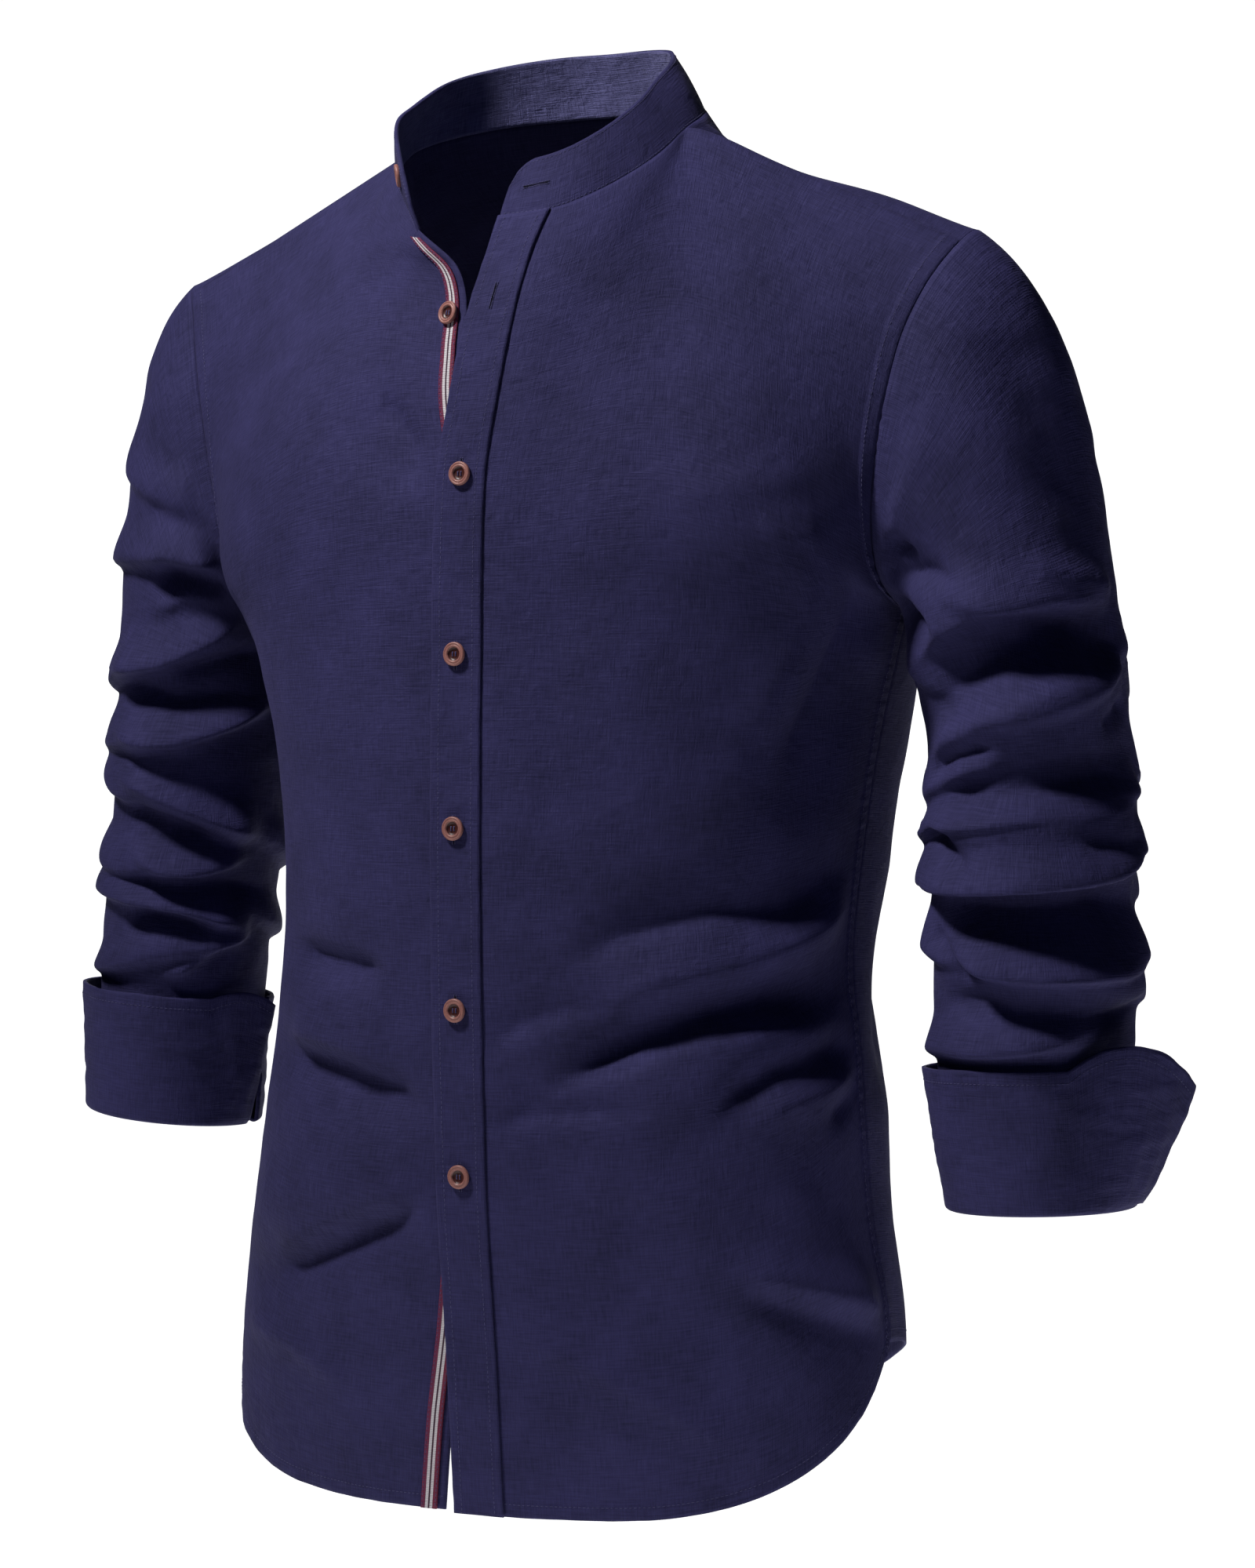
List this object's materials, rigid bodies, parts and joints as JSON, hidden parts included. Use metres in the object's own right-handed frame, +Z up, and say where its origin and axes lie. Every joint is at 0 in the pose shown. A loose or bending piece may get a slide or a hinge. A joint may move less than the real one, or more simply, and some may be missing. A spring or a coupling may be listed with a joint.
{
  "type": "mandarin collar shirt",
  "caption": "Worn long-sleeved shirt with a band collar, front placket, striped inner facing tape and turned-back cuffs, open at the neck.",
  "frame": {"origin": "middle of the neck base, level with the points where the shoulders meet the neck, inside the hollow neck", "axes": "+Z up along the wearer, -Y the way the wearer faces, +X towards the wearer's left arm"},
  "size_m": [0.6866, 0.3028, 0.8044],
  "materials": {
    "cloth": "matte slubbed weave",
    "tape": "woven tape with pale stripes",
    "button": "turned, satin"
  },
  "bodies": {
    "root": {"front_left": "cloth", "front_right": "cloth", "back": "cloth", "yoke": "cloth", "placket": "cloth", "tape": "tape", "sleeve_left": "cloth", "sleeve_right": "cloth", "cuff_left": "cloth", "cuff_right": "cloth", "collar_band": "cloth", "button_1": "button", "button_2": "button", "button_3": "button", "button_4": "button", "button_5": "button", "button_open": "button", "button_collar": "button"}
  },
  "joints": []
}
